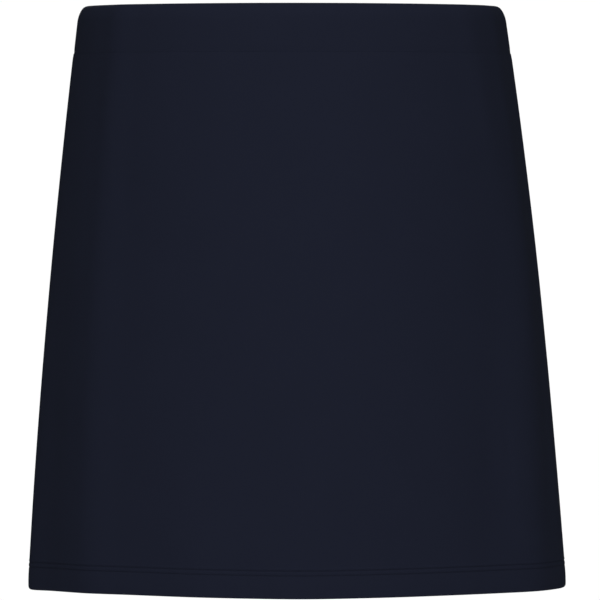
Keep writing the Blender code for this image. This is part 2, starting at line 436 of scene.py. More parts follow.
class Board:
    """A new material and the nodes on it."""

    def __init__(self, name):
        self.material = bpy.data.materials.new(name)
        self.material.use_nodes = True
        self.nodes = self.material.node_tree.nodes
        self.shader = self.nodes["Principled BSDF"]

    def add(self, kind, settings, inputs):
        """Add a node, with its settings made before its sockets are set or linked."""
        node = self.nodes.new(kind)
        for name, setting in settings.items():
            setattr(node, name, setting)
        for socket, value in inputs.items():
            self.set(node.inputs[socket], value)
        return node

    def set(self, socket, value):
        """Link a socket to a Value or another socket, or give it a constant."""
        source = value.socket if isinstance(value, Value) else value
        if isinstance(source, bpy.types.NodeSocket):
            self.material.node_tree.links.new(source, socket)
        else:
            socket.default_value = source

    def cut_map(self):
        """Return the place across and down the cut cloth, in metres."""
        node = self.add("ShaderNodeUVMap", {"uv_map": CUT_MAP}, {})
        split = self.add("ShaderNodeSeparateXYZ", {}, {"Vector": node.outputs["UV"]})
        return Value(self, split.outputs["X"]), Value(self, split.outputs["Y"])

    def noise(self, size, detail, across, down):
        """Return soft noise about 0.5, whose spots are as large as the size."""
        place = self.add("ShaderNodeCombineXYZ", {}, {"X": across / size, "Y": down / size})
        inputs = {"Vector": place.outputs[0], "Scale": 1.0, "Detail": detail}
        node = self.add("ShaderNodeTexNoise", {"noise_dimensions": "2D"}, inputs)
        return Value(self, node.outputs[0])

    def tint(self, colour, amount):
        """Return a colour made lighter or darker by an amount that varies about 1."""
        base = (*colour, 1.0)
        settings = {"data_type": "RGBA", "blend_type": "MULTIPLY"}
        levels = {"Red": amount, "Green": amount, "Blue": amount}
        grey = self.add("ShaderNodeCombineColor", {}, levels)
        node = self.add("ShaderNodeMix", settings, {0: 1.0, 6: base, 7: grey.outputs[0]})
        return node.outputs[2]

    def bump(self, height, distance, strength):
        """Return the normal of a surface that this height raises."""
        inputs = {"Strength": strength, "Distance": distance, "Height": height}
        return self.add("ShaderNodeBump", {}, inputs).outputs[0]


def jersey_material(name, finish, is_reverse):
    """Return fine stretch jersey, with V stitches on its face and short loops on its reverse."""
    board = Board(name)
    across, down = board.cut_map()
    wobble = board.noise(WOBBLE_SIZE, 2.0, across, down)
    wale = across / finish.wale + 0.25 * wobble
    course = down / finish.course + 0.35 * wobble
    from_middle = abs(wale.part() * 2.0 - 1.0)
    if is_reverse:
        loop = (course + 0.22 * wale.wave()).wave()
        knit = loop * 0.75 + 0.25 * from_middle
    else:
        leg = 1.0 - abs(from_middle * 2.0 - 1.0) ** 2.0
        knit = leg * (0.35 + 0.65 * (course - 0.55 * from_middle).wave())
    fuzz = board.noise(FUZZ_SIZE, 3.0, across, down)
    cloud = board.noise(CLOUD_SIZE, 2.0, across, down)
    amount = JERSEY_SHADE + KNIT_SHADE * knit + FUZZ_SHADE * (fuzz - 0.5)
    amount += CLOUD_SHADE * (cloud - 0.5)
    board.set(board.shader.inputs["Base Color"], board.tint(finish.jersey, amount))
    board.set(board.shader.inputs["Roughness"], JERSEY_ROUGHNESS + 0.16 * (fuzz - 0.5))
    relief = knit + 0.5 * (fuzz - 0.5)
    board.set(board.shader.inputs["Normal"], board.bump(relief, KNIT_RELIEF, 0.75))
    board.shader.inputs["Specular IOR Level"].default_value = JERSEY_GLOSS
    return board.material


def thread_material(name, finish):
    """Return spun sewing thread, smoother than the jersey and a little darker: partly its own dye,
    and partly painted shade standing in for the shade of the needle grooves that it lies in.
    """
    board = Board(name)
    place = board.add("ShaderNodeTexCoord", {}, {}).outputs["Object"]
    inputs = {"Vector": place, "Scale": THREAD_FIBRES, "Detail": 2.0}
    node = board.add("ShaderNodeTexNoise", {}, inputs)
    fibre = Value(board, node.outputs[0])
    amount = THREAD_SHADE + FIBRE_SHADE * fibre
    # The thread colour's darkness is partly painted shade of the needle grooves, on top of its own
    # dye.
    board.set(board.shader.inputs["Base Color"], board.tint(finish.thread, amount))
    board.set(board.shader.inputs["Roughness"], THREAD_ROUGHNESS + 0.20 * fibre)
    board.set(board.shader.inputs["Normal"], board.bump(fibre, THREAD_RELIEF, 0.5))
    board.shader.inputs["Specular IOR Level"].default_value = THREAD_GLOSS
    return board.material


def material_named(name, maker, *details):
    """Return the material of this name, made once."""
    return bpy.data.materials.get(name) or maker(name, *details)


def face_jersey():
    """Return the right side of the jersey."""
    return material_named("jersey_face", jersey_material, bpy.context.scene.skirt_finish, False)


def reverse_jersey():
    """Return the wrong side of the jersey, which shows inside."""
    return material_named("jersey_reverse", jersey_material, bpy.context.scene.skirt_finish, True)


def sewing_thread():
    """Return the thread of every seam."""
    return material_named("sewing_thread", thread_material, bpy.context.scene.skirt_finish)


def seam_dip(depth):
    """Return how far the cloth is drawn in beside the waist seam."""
    return SEAM_DIP * swell((depth - BAND_DEPTH) / SEAM_DIP_REACH)


SIDE_METRES_A_DEGREE = 0.00125  # how far a degree goes round the form beside a side seam


def side_distance(angle):
    """Return about how far round the form an angle lies from the nearer side seam."""
    return min(angle % 180.0, 180.0 - angle % 180.0) * SIDE_METRES_A_DEGREE


def edge_turn(distance):
    """Return how far a sewn edge turns in at a distance from its seam."""
    cloth = bpy.context.scene.skirt_cloth
    return cloth.seam_round * (1.0 - round_end(distance, cloth.seam_round_reach))


def side_lift(angle):
    """Return how far the allowance inside the nearer side seam pushes the cloth out."""
    cloth = bpy.context.scene.skirt_cloth
    return cloth.side_lift * swell(side_distance(angle) / cloth.side_lift_reach)


BAND_JOIN_ANGLE = 270.0
BACK_METRES_A_DEGREE = 0.0029  # how far a degree goes round the band at the centre back
BAND_JOIN_REACH = 0.0008
BAND_JOIN_DIP = 0.0004


def join_dip(angle):
    """Return how far the band sinks where its ends are joined at the centre back."""
    away = turn_between(angle, BAND_JOIN_ANGLE) * BACK_METRES_A_DEGREE
    return BAND_JOIN_DIP * (1.0 - round_end(away, BAND_JOIN_REACH))


def band_insets(angle, depth):
    """Return the insets of the band's outer and inner face: a round fold on a rolled-in top."""
    roll = TOP_ROLL_IN * (1.0 - round_end(depth, TOP_ROLL_DEPTH))
    middle = roll + BAND_WALL / 2.0 + seam_dip(depth)
    half = BAND_WALL / 2.0 * max(round_end(depth, TOP_FOLD_DEPTH), BLUNTNESS)
    dip = join_dip(angle) * round_end(depth, TOP_FOLD_DEPTH)
    return middle - half + dip + edge_turn(BAND_DEPTH - depth), middle + half - dip


RIDGE_ABOVE = 0.0016  # from the upper needle row up to the ridge that it raises
RIDGE_REACH = 0.0013
GROOVE_REACH = 0.0009


def needle_relief(above_fold):
    """Return how far the two needle rows sink the hem, less what stands up beside them."""
    sewing = bpy.context.scene.skirt_sewing
    upper, lower = sewing.upper_row, sewing.upper_row - sewing.gauge
    sunk = swell((above_fold - upper) / GROOVE_REACH) + swell((above_fold - lower) / GROOVE_REACH)
    raised = swell((above_fold - upper - RIDGE_ABOVE) / RIDGE_REACH)
    raised += swell((above_fold - (upper + lower) / 2.0) / (sewing.gauge / 2.0))
    return sewing.groove * sunk - sewing.tunnel * raised


def panel_insets(angle, depth):
    """Return the insets of a panel's outer and inner face, down to the round fold of its hem."""
    above_fold = LENGTH - depth
    sunk = needle_relief(above_fold)
    lifted = side_lift(angle)
    turned = max(edge_turn(depth - BAND_DEPTH), edge_turn(side_distance(angle)))
    if above_fold > HEM_TURN_UP:
        outer = seam_dip(depth) - lifted
        return outer + sunk + turned, outer + PANEL_WALL
    curl = HEM_CURL_IN * max(1.0 - above_fold / HEM_CURL_DEPTH, 0.0) ** 2
    corner = HEM_CORNER_IN * swell(side_distance(angle) / HEM_CORNER_REACH)
    curl += corner * (1.0 - round_end(above_fold, HEM_CORNER_DEPTH))
    middle = curl + HEM_WALL / 2.0 - lifted
    half = HEM_WALL / 2.0 * max(round_end(above_fold, HEM_FOLD_DEPTH), BLUNTNESS)
    turned *= round_end(above_fold, HEM_FOLD_DEPTH)
    return middle - half + sunk + turned, middle + half - sunk / 2.0


def even_steps(first, last, count):
    """Return values from the first to the last in even steps."""
    return [first + (last - first) * i / count for i in range(count + 1)]


FOLD_SHARES = (0.0, 0.04, 0.15, 0.35, 0.65, 1.0)  # of a round fold's depth, from its tip
CORNER_ROWS = 4
SEAM_SHARES = (0.0, 0.08, 0.3, 0.6, 1.0)  # of a sewn edge's rounding, from its seam
ROLL_ROWS = 10
BAND_ROWS = 16
STITCH_ZONE = (0.0250, 0.0155)  # heights above the hem's fold that the needle rows shape
STITCH_ZONE_ROWS = 32
BELOW_STITCH_ROWS = 8
RAW_EDGE_STEP = 0.0003  # the length over which a hem's raw edge thickens its panel


def band_depths():
    """Return the depths of the band's rows, closer at its rolled top and at its seam."""
    cloth = bpy.context.scene.skirt_cloth
    last = BAND_DEPTH - cloth.seam_gap / 2.0
    fold = [share * TOP_FOLD_DEPTH for share in FOLD_SHARES]
    roll = even_steps(TOP_FOLD_DEPTH, TOP_ROLL_DEPTH, ROLL_ROWS)[1:]
    body = even_steps(TOP_ROLL_DEPTH, last - cloth.seam_round_reach, BAND_ROWS)[1:-1]
    seam = [last - share * cloth.seam_round_reach for share in reversed(SEAM_SHARES)]
    return fold + roll + body + seam


def panel_depths():
    """Return the depths of a panel's rows, closer at its seam, its needle rows and its fold."""
    cloth = bpy.context.scene.skirt_cloth
    first = BAND_DEPTH + cloth.seam_gap / 2.0
    raw_edge = LENGTH - HEM_TURN_UP
    seam = [first + share * cloth.seam_round_reach for share in SEAM_SHARES]
    dip = even_steps(seam[-1], first + SEAM_DIP_REACH, SEAM_DIP_ROWS)[1:]
    body = even_steps(dip[-1], LENGTH - STITCH_ZONE[0], cloth.body_rows)[1:-1]
    stitched = even_steps(LENGTH - STITCH_ZONE[0], LENGTH - STITCH_ZONE[1], STITCH_ZONE_ROWS)
    stitched = [depth for depth in stitched if abs(depth - raw_edge) > RAW_EDGE_STEP / 2.0]
    stitched += [raw_edge - RAW_EDGE_STEP / 4.0, raw_edge + RAW_EDGE_STEP / 4.0]
    corner = LENGTH - HEM_CORNER_DEPTH
    below = even_steps(LENGTH - STITCH_ZONE[1], corner, BELOW_STITCH_ROWS)[1:-1]
    below += even_steps(corner, LENGTH - HEM_FOLD_DEPTH, CORNER_ROWS)[:-1]
    fold = [LENGTH - share * HEM_FOLD_DEPTH for share in reversed(FOLD_SHARES)]
    return seam + dip + body + sorted(stitched) + below + fold


def column_angles(first_angle, turn, count, reach):
    """Return the angles of a wall's columns, closer within a reach of its two ends."""
    near = [share * reach for share in SEAM_SHARES]
    middle = [angle for angle in even_steps(0.0, turn, count) if reach < angle < turn - reach]
    far = [turn - angle for angle in reversed(near)]
    return [first_angle + angle for angle in near + middle + far]


def panel_angles(first_angle):
    """Return the angles of a panel's columns from side seam to side seam."""
    cloth = bpy.context.scene.skirt_cloth
    reach = cloth.seam_round_reach / SIDE_METRES_A_DEGREE
    return column_angles(first_angle, 180.0, cloth.panel_columns, reach)


def band_angles():
    """Return the angles of the band's columns from its join all the way round."""
    count = 2 * bpy.context.scene.skirt_cloth.panel_columns
    reach = BAND_JOIN_REACH / BACK_METRES_A_DEGREE
    return column_angles(BAND_JOIN_ANGLE - 360.0, 360.0, count, reach)[:-1]


def wall_rows(depths, angles, insets, shift=0.0):
    """Return the outer and the inner rows of points of a wall, moved along Y by the shift."""
    outer, inner = [], []
    offset = Vector((0.0, shift, 0.0))
    for depth in depths:
        pairs = [insets(angle, depth) for angle in angles]
        outer.append([cloth_point(a, depth, pair[0]) + offset for a, pair in zip(angles, pairs)])
        inner.append([cloth_point(a, depth, pair[1]) + offset for a, pair in zip(angles, pairs)])
    return outer, inner


OUTER_CUT_TOP = 1.0
INNER_CUT_TOP = 0.5  # the inner face is laid out below the outer one
CUT_MIDDLE = 0.5


def running_lengths(points):
    """Return how far along a row of points each one lies from the first."""
    lengths = [0.0]
    for point, following in zip(points, points[1:]):
        lengths.append(lengths[-1] + (following - point).length)
    return lengths


def cut_places(rows, depths, is_ring, top):
    """Return each point's place on the cut cloth, measured round from the middle column."""
    places = []
    for row, depth in zip(rows, depths):
        arcs = running_lengths(row + row[:1] if is_ring else row)
        middle = arcs[-1] / 2.0
        places.append([(CUT_MIDDLE + arc - middle, top - depth) for arc in arcs])
    return places


def turn_outwards(maker, mesh):
    """Put the faces made into the mesh, all turned outwards, and let go of the maker."""
    bmesh.ops.recalc_face_normals(maker, faces=maker.faces)
    maker.to_mesh(mesh)
    maker.free()
    return mesh


def wall_mesh(name, depths, rows, is_ring, reverse_above=0.0):
    """Return a closed mesh between outer and inner rows, which a ring joins end to end.

    The inner face takes the second material down to the depth reverse_above.
    """
    maker = bmesh.new()
    cut = maker.loops.layers.uv.new(CUT_MAP)
    columns = len(rows[0][0])
    steps = range(columns if is_ring else columns - 1)
    walls = []
    for face, top in zip(rows, (OUTER_CUT_TOP, INNER_CUT_TOP)):
        vertices = [[maker.verts.new(point) for point in row] for row in face]
        walls.append((vertices, cut_places(face, depths, is_ring, top)))

    def add_face(corners, is_reverse):
        """Add a face whose corners are each a wall, a row and a column."""
        face = maker.faces.new([walls[wall][0][row][i % columns] for wall, row, i in corners])
        face.material_index = 1 if is_reverse else 0
        for loop, (wall, row, i) in zip(face.loops, corners):
            loop[cut].uv = walls[wall][1][row][i]

    last = len(depths) - 1
    for wall in (0, 1):
        for row in range(last):
            is_reverse = wall == 1 and depths[row + 1] < reverse_above
            for i in steps:
                upper, lower = (wall, row), (wall, row + 1)
                add_face(((*upper, i), (*upper, i + 1), (*lower, i + 1), (*lower, i)), is_reverse)
    for row in (0, last):
        for i in steps:
            add_face(((0, row, i), (1, row, i), (1, row, i + 1), (0, row, i + 1)), False)
    if not is_ring:
        for i in (0, columns - 1):
            for row in range(last):
                add_face(((0, row, i), (1, row, i), (1, row + 1, i), (0, row + 1, i)), False)
    return turn_outwards(maker, bpy.data.meshes.new(name))


SHARP_EDGE = math.radians(50.0)


def add_object(name, mesh, materials):
    """Add a piece that rides on the part's one body, smooth but for its sharp edges."""
    mesh.shade_smooth()
    mesh.set_sharp_from_angle(angle=SHARP_EDGE)
    for material in materials:
        mesh.materials.append(material)
    piece = bpy.data.objects.new(name, mesh)
    bpy.context.scene.collection.objects.link(piece)
    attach(piece, "root")
    return piece


class Round:
    """The way round the cloth's outer face at one depth, which turns a length into an angle."""

    def __init__(self, depth, insets, first_angle=0.0, turn=360.0, count=720):
        self.angles = even_steps(first_angle, first_angle + turn, count)
        points = [cloth_point(angle, depth, insets(angle, depth)[0]).xy for angle in self.angles]
        self.lengths = running_lengths(points)
        self.length = self.lengths[-1]

    def angle_at(self, length):
        """Return the angle at a length from the first angle."""
        length = min(max(length, 0.0), self.length)
        i = min(bisect_right(self.lengths, length), len(self.lengths) - 1)
        start, end = self.lengths[i - 1], self.lengths[i]
        share = (length - start) / (end - start)
        return self.angles[i - 1] + (self.angles[i] - self.angles[i - 1]) * share


def deselect_all():
    """Leave no object selected, so that an operator acts on its own piece alone."""
    for item in bpy.context.view_layer.objects:
        item.select_set(False)


THREAD_RESOLUTION = 1  # which gives a thread six sides
CAP_WELD = 0.01  # the distance over which a thread's end caps are welded on, in its diameters


def thread_repeat(name, strands, diameter):
    """Return the points and faces of one repeat of a seam's threads.

    Each strand is a row of points, given in millimetres along the seam, across it and out of it.
    """
    deselect_all()
    curve = bpy.data.curves.new(name, "CURVE")
    curve.dimensions = "3D"
    curve.bevel_depth = diameter / 2.0
    curve.bevel_resolution = THREAD_RESOLUTION
    curve.use_fill_caps = True
    for strand in strands:
        spline = curve.splines.new("POLY")
        spline.points.add(len(strand) - 1)
        for point, place in zip(spline.points, strand):
            point.co = (*(value * MILLIMETRE for value in place), 1.0)
    thread = bpy.data.objects.new(name, curve)
    bpy.context.scene.collection.objects.link(thread)
    thread.select_set(True)
    bpy.context.view_layer.objects.active = thread
    bpy.ops.object.convert(target="MESH")
    mesh = bpy.context.view_layer.objects.active.data
    maker = bmesh.new()
    maker.from_mesh(mesh)
    bmesh.ops.remove_doubles(maker, verts=maker.verts, dist=diameter * CAP_WELD)
    maker.verts.index_update()
    points = [vertex.co.copy() for vertex in maker.verts]
    faces = [tuple(corner.index for corner in face.verts) for face in maker.faces]
    maker.free()
    bpy.data.objects.remove(bpy.context.view_layer.objects.active, do_unlink=True)
    bpy.data.meshes.remove(mesh)
    return points, faces


def sew(name, repeat, pitch, seams):
    """Add a seam's threads: the repeat, copied along each seam's length and laid on its cloth.

    A seam is its length and a function that places a point along, across and out of it.
    """
    points, faces = repeat
    placed, joined = [], []
    for length, place in seams:
        count = round(length / pitch)
        stretch = length / (count * pitch)
        for number in range(count):
            first = len(placed)
            start = number * pitch
            placed += [place((start + p.x) * stretch, p.y, p.z) for p in points]
            joined += [tuple(first + corner for corner in face) for face in faces]
    mesh = bpy.data.meshes.new(name)
    mesh.from_pydata(placed, [], joined)
    maker = bmesh.new()
    maker.from_mesh(mesh)
    add_object(name, turn_outwards(maker, mesh), [sewing_thread()])


def half_shift(angle):
    """Return how far the panel at an angle stands off the plane of the side seams."""
    gap = bpy.context.scene.skirt_cloth.seam_gap
    return Vector((0.0, -gap / 2.0 if math.sin(math.radians(angle)) > 0.0 else gap / 2.0, 0.0))


class SKIRT_OT_add_waistband(bpy.types.Operator):
    """Add the waistband, jersey folded double over its elastic."""

    bl_idname = "skirt.add_waistband"
    bl_label = "Add Waistband"

    def execute(self, context):
        """Loft the band as a ring from its join at the centre back."""
        depths, angles = band_depths(), band_angles()
        rows = wall_rows(depths, angles, band_insets)
        mesh = wall_mesh("waistband_cloth", depths, rows, True)
        piece = add_object("waistband_cloth", mesh, [face_jersey()])
        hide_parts(WAISTBAND)
        return {"FINISHED"}


class SKIRT_OT_add_panels(bpy.types.Operator):
    """Add the front and the back panel, each with its hem turned up."""

    bl_idname = "skirt.add_panels"
    bl_label = "Add Panels"

    def execute(self, context):
        """Loft each panel from side seam to side seam."""
        depths = panel_depths()
        gap = context.scene.skirt_cloth.seam_gap
        sides = ((FRONT_PANEL, 0.0, -gap / 2.0), (BACK_PANEL, 180.0, gap / 2.0))
        for node, first_angle, shift in sides:
            name = node + "_cloth"
            rows = wall_rows(depths, panel_angles(first_angle), panel_insets, shift)
            mesh = wall_mesh(name, depths, rows, False, LENGTH - HEM_TURN_UP)
            piece = add_object(name, mesh, [face_jersey(), reverse_jersey()])
            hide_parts(node)
        return {"FINISHED"}


# One stitch of a needle row, in millimetres along, across and out of the cloth. The thread comes
# up, lies on the cloth and goes down again.
NEEDLE_STITCH = (
    ((0.12, 0.0, -0.30), (0.22, 0.0, 0.02), (0.55, 0.0, 0.12), (1.40, 0.0, 0.16),
     (2.25, 0.0, 0.12), (2.58, 0.0, 0.02), (2.68, 0.0, -0.30)),
)  # fmt: skip


# One repeat of the looper thread that covers the raw edge inside, between the two needle rows.
# Across is in millimetres down from the upper row.
COVER_STITCH = (
    ((0.0, -0.3, 0.10), (0.25, -0.35, 0.16), (0.7, 0.7, 0.30), (1.4, 1.9, 0.34), (2.1, 3.0, 0.30),
     (2.5, 3.85, 0.16), (2.8, 3.9, 0.10)),
    ((0.0, 3.9, 0.12), (0.3, 3.9, 0.16), (0.7, 3.0, 0.20), (1.4, 1.8, 0.22), (2.1, 0.7, 0.20),
     (2.5, -0.3, 0.16), (2.8, -0.3, 0.10)),
    ((0.15, 0.0, 0.05), (0.5, -0.3, 0.24), (1.0, 0.0, 0.30), (1.5, 0.3, 0.24), (1.9, 0.0, 0.05)),
    ((0.95, 3.6, 0.05), (1.3, 3.3, 0.24), (1.8, 3.6, 0.30), (2.3, 3.9, 0.24), (2.7, 3.6, 0.05)),
)  # fmt: skip


def hem_row(height, is_inside):
    """Return the length of a row of stitches round the hem, and the function that lays them."""
    way = Round(LENGTH - height, panel_insets)

    def place(along, across, out):
        """Return a point of the row, on the cloth's face or on the turned-up hem inside."""
        angle, depth = way.angle_at(along), LENGTH - height + across
        if is_inside:
            turned_up = max(depth, LENGTH - HEM_TURN_UP + RAW_EDGE_STEP)
            inset = panel_insets(angle, turned_up)[1] + out
        else:
            inset = panel_insets(angle, depth)[0] - out
        return cloth_point(angle % 360.0, depth, inset) + half_shift(angle)

    return way.length, place


class SKIRT_OT_sew_hem(bpy.types.Operator):
    """Sew the hem with two needle rows outside and their looper thread inside."""

    bl_idname = "skirt.sew_hem"
    bl_label = "Sew Hem"

    def execute(self, context):
        """Copy one stitch round each row."""
        sewing = context.scene.skirt_sewing
        stitch = thread_repeat("needle_stitch", NEEDLE_STITCH, sewing.thread)
        upper, lower = sewing.upper_row, sewing.upper_row - sewing.gauge
        rows = [hem_row(upper, False), hem_row(lower, False)]
        sew("hem_needle_rows", stitch, sewing.stitch, rows)
        cover = thread_repeat("cover_stitch", COVER_STITCH, sewing.thread)
        sew("hem_cover_threads", cover, sewing.stitch, [hem_row(upper, True)])
        return {"FINISHED"}


ALLOWANCE_CLEARANCE = 0.00005
WAIST_ALLOWANCE_COLUMNS = 360
WAIST_RADIUS = 0.14  # about how far the waist seam lies from the middle
ALLOWANCE_EDGE_ROUND = 0.0008
ALLOWANCE_SHARES = (0.0, 0.15, 0.3, 0.45, 0.6, 0.75, 0.88, 0.94, 0.98, 1.0)
ALLOWANCE_LIP = 0.0010  # how far a side allowance starts in front of its seam
SIDE_ALLOWANCE_ROWS = 60
SIDE_ALLOWANCE_HEM_ROWS = 28
SIDE_ALLOWANCE_END = LENGTH - 0.0004
HEM_CLIMB_REACH = 0.0035  # over which a side allowance climbs onto the turned-up hem
HEM_CLIMB_ROOM = 1.5 * HEM_CLIMB_REACH  # above the raw edge, where the closer rows begin
COVER_HEIGHT = 0.0006  # how far it climbs over the covering threads
COVER_ZONE = (0.0168, 0.0228)  # their zone above the hem's fold
COVER_CLIMB_REACH = 0.0014
WAVE_LENGTHS = (0.043, 0.071)  # the uneven waves of an allowance that lies loose
WAVE_HEIGHT = 0.0002
CROSSING_REACH = 0.010  # over which the waist allowance climbs over a side allowance


def loose_wave(along):
    """Return how far a loose allowance stands off the cloth under it."""
    waves = (math.sin(2.0 * math.pi * along / length) for length in WAVE_LENGTHS)
    return WAVE_HEIGHT * (1.0 + sum(waves) / 2.0)


def ply_insets(under, share, along):
    """Return the insets of a loose ply's two faces, at a share of its width from its seam."""
    wall = bpy.context.scene.skirt_sewing.allowance_wall
    allowance = bpy.context.scene.skirt_sewing.allowance
    half = wall / 2.0 * round_end((1.0 - share) * allowance, ALLOWANCE_EDGE_ROUND)
    half = max(half, wall * BLUNTNESS)
    middle = under + ALLOWANCE_CLEARANCE + loose_wave(along) * share + wall / 2.0
    return middle - half, middle + half


def waist_allowance_insets(angle, depth):
    """Return the insets of the waist seam's allowance, which lies down inside the panels."""
    sewing = bpy.context.scene.skirt_sewing
    side = side_distance(angle)
    climb = sewing.allowance_wall + 3.0 * WAVE_HEIGHT
    climb *= smooth(2.0 - side / (CROSSING_REACH / 2.0))
    share = (depth - BAND_DEPTH) / sewing.allowance
    under = panel_insets(angle, depth)[1] + climb
    return ply_insets(under, share, math.radians(angle) * WAIST_RADIUS)


def hem_climb(depth):
    """Return how far a side allowance stands off the panel to clear the hem's raw edge."""
    above_fold = LENGTH - depth
    bottom, top = COVER_ZONE
    climb = COVER_HEIGHT * smooth(1.0 - (above_fold - top) / COVER_CLIMB_REACH)
    climb *= smooth(1.0 - (bottom - above_fold) / COVER_CLIMB_REACH)
    if above_fold > HEM_TURN_UP:
        before_edge = above_fold - HEM_TURN_UP - RAW_EDGE_STEP
        climb += (HEM_WALL - PANEL_WALL) * smooth(1.0 - before_edge / HEM_CLIMB_REACH)
    return climb


def side_allowance_insets(angle, depth):
    """Return the insets of a side seam's allowance, which lies inside the back panel."""
    sewing = bpy.context.scene.skirt_sewing
    share = min(max(side_distance(angle) / sewing.allowance, 0.0), 1.0)
    return ply_insets(panel_insets(angle, depth)[1] + hem_climb(depth), share, depth)


def side_allowance_angles(seam_angle, direction):
    """Return the angles across a side allowance, from just in front of its seam to its edge."""
    width = bpy.context.scene.skirt_sewing.allowance / SIDE_METRES_A_DEGREE
    lip = ALLOWANCE_LIP / SIDE_METRES_A_DEGREE
    turns = [-lip] + [share * width for share in ALLOWANCE_SHARES]
    return [seam_angle + direction * turn for turn in turns]


# A side seam's name and angle, and which way round the form the back panel lies from it.
SIDE_SEAMS = (("plus_x", 360.0, -1.0), ("minus_x", 180.0, 1.0))

# One repeat of a four-thread overlock, in millimetres along the seam, across from the seam
# to the raw edge, and out of the allowance. Two needle threads run along, and the looper zigzags
# from the outer one to the edge, which it wraps.
OVERLOCK_STITCH = (
    ((0.1, 1.3, -0.05), (0.4, 1.3, 0.12), (1.2, 1.3, 0.16), (2.1, 1.3, 0.12), (2.4, 1.3, -0.05)),
    ((0.1, 3.4, -0.05), (0.4, 3.4, 0.12), (1.2, 3.4, 0.16), (2.1, 3.4, 0.12), (2.4, 3.4, -0.05)),
    ((0.0, 1.4, 0.12), (0.35, 2.6, 0.30), (0.8, 4.6, 0.30), (1.15, 6.4, 0.20), (1.25, 7.1, -0.35),
     (1.35, 6.5, 0.20), (1.7, 4.6, 0.26), (2.15, 2.6, 0.24), (2.5, 1.4, 0.12)),
)  # fmt: skip


OVERLOCK_MIDDLE = 0.004  # from the seam to about the middle of its overlock
OVERLOCK_HELD = 0.0062  # past this the looper keeps its height, clear of the allowance's edge


def waist_overlock():
    """Return the length of the waist seam's allowance and the function that lays its threads."""
    way = Round(BAND_DEPTH + OVERLOCK_MIDDLE, waist_allowance_insets)

    def place(along, across, out):
        """Return a point of the waist seam's overlock."""
        angle = way.angle_at(along)
        depth = BAND_DEPTH + across
        inset = waist_allowance_insets(angle, min(depth, BAND_DEPTH + OVERLOCK_HELD))[1]
        return cloth_point(angle % 360.0, depth, inset + out)

    return way.length, place


def side_overlock(seam_angle, direction):
    """Return the length of a side seam's allowance and the function that lays its threads."""
    top = BAND_DEPTH + bpy.context.scene.skirt_sewing.allowance

    def place(along, across, out):
        """Return a point of the side seam's overlock."""
        depth = top + along
        turn = across / SIDE_METRES_A_DEGREE
        held = min(across, OVERLOCK_HELD) / SIDE_METRES_A_DEGREE
        inset = side_allowance_insets(seam_angle + direction * held, depth)[1]
        return cloth_point(seam_angle + direction * turn, depth, inset + out)

    return SIDE_ALLOWANCE_END - top, place


class SKIRT_OT_sew_seams(bpy.types.Operator):
    """Add the overlocked allowances of the waist seam and of both side seams, inside."""

    bl_idname = "skirt.sew_seams"
    bl_label = "Sew Seams"

    def execute(self, context):
        """Loft the allowances and lay the overlock's threads on them."""
        sewing = context.scene.skirt_sewing
        repeat = thread_repeat("overlock_stitch", OVERLOCK_STITCH, sewing.thread)
        self.add_waist_allowance(sewing)
        self.add_side_allowances()
        sew("waist_seam_overlock", repeat, sewing.overlock, [waist_overlock()])
        sides = [side_overlock(angle, direction) for _, angle, direction in SIDE_SEAMS]
        sew("side_seam_overlock", repeat, sewing.overlock, sides)
        return {"FINISHED"}

    def add_waist_allowance(self, sewing):
        """Add the ring of cloth below the waist seam."""
        first, last = BAND_DEPTH + 2.0 * ALLOWANCE_CLEARANCE, BAND_DEPTH + sewing.allowance
        depths = [first + (last - first) * share for share in ALLOWANCE_SHARES]
        angles = even_steps(0.0, 360.0, WAIST_ALLOWANCE_COLUMNS)[:-1]
        rows = wall_rows(depths, angles, waist_allowance_insets)
        mesh = wall_mesh("waist_seam_allowance", depths, rows, True)
        add_object("waist_seam_allowance", mesh, [reverse_jersey()])

    def add_side_allowances(self):
        """Add the strip of cloth inside each side seam."""
        first = BAND_DEPTH + 2.0 * ALLOWANCE_CLEARANCE
        hem = LENGTH - HEM_TURN_UP - HEM_CLIMB_ROOM
        depths = even_steps(first, hem, SIDE_ALLOWANCE_ROWS)
        depths += even_steps(hem, SIDE_ALLOWANCE_END, SIDE_ALLOWANCE_HEM_ROWS)[1:]
        for side, seam_angle, direction in SIDE_SEAMS:
            name = "side_seam_allowance_" + side
            angles = side_allowance_angles(seam_angle, direction)
            rows = wall_rows(depths, angles, side_allowance_insets)
            mesh = wall_mesh(name, depths, rows, False)
            add_object(name, mesh, [reverse_jersey()])


CUT_ROWS = 24
CUT_COLUMNS = 180


def shown_cut(insets, first_angle, turn, top, bottom):
    """Return the width, length and area of the cloth that shows between two depths."""
    depths = even_steps(top, bottom, CUT_ROWS)
    widths = [Round(depth, insets, first_angle, turn, CUT_COLUMNS).length for depth in depths]
    tall = bottom - top
    return max(widths), tall, sum(widths) / len(widths) * tall


class SKIRT_OT_declare_cloth(bpy.types.Operator):
    """Work out the cut of each piece of cloth as it shows, without keeping it."""

    bl_idname = "skirt.declare_cloth"
    bl_label = "Declare Cloth"

    def execute(self, context):
        """Work the cuts out from the worn form."""
        width, tall, area = shown_cut(band_insets, 0.0, 360.0, 0.0, BAND_DEPTH)
        min(area, width * tall)
        for node, first_angle in ((FRONT_PANEL, 0.0), (BACK_PANEL, 180.0)):
            width, tall, area = shown_cut(panel_insets, first_angle, 180.0, BAND_DEPTH, LENGTH)
        return {"FINISHED"}


CAMERA_PLACE = (0.00646, -4.9, -0.1206)
CAMERA_PITCH = 1.246  # degrees below the level
CAMERA_RANGE = 50.0
SENSOR_WIDTH = 36.0
BACKDROP_STRENGTH = 1.02
FLOOR_DEPTH = 0.85
FLOOR_GREY, FLOOR_ROUGHNESS = 0.80, 0.9
FLOOR_RADIUS = 2.2
FLOOR_SIDES = 128

